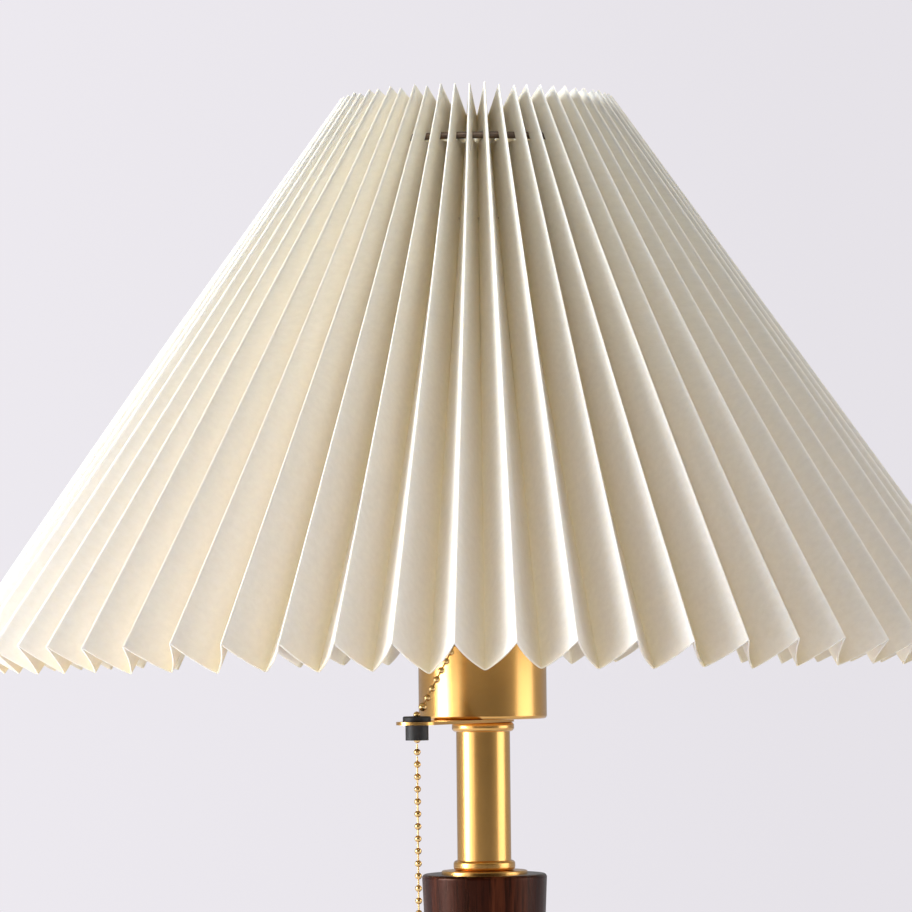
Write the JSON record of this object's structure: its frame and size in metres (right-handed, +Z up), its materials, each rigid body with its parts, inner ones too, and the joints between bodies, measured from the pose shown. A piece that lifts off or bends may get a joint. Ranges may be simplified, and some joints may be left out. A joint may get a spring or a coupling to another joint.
{
  "type": "table lamp",
  "caption": "Table lamp with a pleated cone shade, brass neck and cup, turned wood column on a round foot and a ball-chain pull switch.",
  "frame": {"origin": "centre of the foot's underside, on the surface that the lamp stands on", "axes": "+Z up along the column; the side with the pull chain faces -Y"},
  "size_m": [0.3724, 0.3724, 0.4669],
  "materials": {
    "felt": "matt felt",
    "walnut": "satin lacquer",
    "iron": "rough cast",
    "zinc_steel": "zinc plated",
    "black_plastic": "matt",
    "black_rubber": "satin",
    "satin_brass": "satin brushed and lacquered",
    "porcelain": "glazed",
    "nickel_shell": "nickel plated",
    "contact_brass": "bright",
    "opal_glass": "opal, satin",
    "chain_brass": "polished",
    "shade_paper": "matt textile-covered paper",
    "frame_wire": "dark lacquered wire",
    "thread": "twisted thread"
  },
  "bodies": {
    "base": {"felt_pad": "felt", "wood_base": "walnut", "base_weight": "iron", "weight_screws": "zinc_steel", "bottom_washer": "zinc_steel", "bottom_nut": "zinc_steel", "cord_gland": "black_plastic", "wood_column": "walnut", "threaded_rod": "zinc_steel", "flange_washer": "satin_brass", "bead_ring": "satin_brass", "neck_tube": "satin_brass", "top_collar": "satin_brass", "guide_arm": "satin_brass", "arm_bush": "black_rubber", "socket_cup": "satin_brass", "chain_outlet": "satin_brass", "cup_nut": "zinc_steel", "switch_body": "black_plastic", "lever_pin": "zinc_steel", "switch_spring": "zinc_steel", "socket_sleeve": "black_plastic", "socket_insert": "porcelain", "screw_shell": "nickel_shell", "centre_contact": "contact_brass", "shade_nut": "black_plastic", "bulb_cap": "nickel_shell", "bulb_glass": "opal_glass"},
    "lever": {"switch_lever": "zinc_steel"},
    "upper_chain": {"chain_upper": "chain_brass"},
    "chain_core": {"chain_core": "chain_brass"},
    "chain_swivel": {"chain_swivel": "chain_brass"},
    "lower_chain": {"chain_lower": "chain_brass", "chain_pendant": "satin_brass"},
    "shade": {"shade_pleats": "shade_paper", "shade_top_ring": "frame_wire", "shade_bars": "frame_wire", "shade_hub": "frame_wire", "shade_thread": "thread"}
  },
  "joints": [
    {"name": "chain_pull", "type": "slide", "parent": "base", "child": "chain_core", "axis": [0, 0, -1], "range_m": [0, 0.006], "stiffness_N_per_m": 800, "springref_m": -0.0025},
    {"name": "upper_chain_run", "type": "slide", "parent": "base", "child": "upper_chain", "axis": [-0.3813, -0.5654, -0.7314], "range_m": [0, 0.006]},
    {"name": "lever_swing", "type": "hinge", "parent": "base", "child": "lever", "pos_m": [-0.00675, -0.00133, 0.27287], "axis": [0.9095, -0.0875, -0.4064], "range_deg": [0, 17]},
    {"name": "chain_sway_side", "type": "hinge", "parent": "chain_core", "child": "chain_swivel", "pos_m": [-0.0231, -0.0465, 0.23456], "axis": [-0.4449, -0.8956, 0], "range_deg": [-25, 25]},
    {"name": "chain_sway_out", "type": "hinge", "parent": "chain_swivel", "child": "lower_chain", "pos_m": [-0.0231, -0.0465, 0.23028], "axis": [-0.8956, 0.4449, 0], "range_deg": [-1.5, 30]},
    {"name": "shade_turn", "type": "hinge", "parent": "base", "child": "shade", "pos_m": [0, 0, 0.3053], "axis": [0, 0, 1], "continuous": true}
  ],
  "couplings": [
    {"joint": "upper_chain_run", "follows": "chain_pull", "ratio": 1},
    {"joint": "lever_swing", "follows": "chain_pull", "rad_per_m": 49.198}
  ]
}
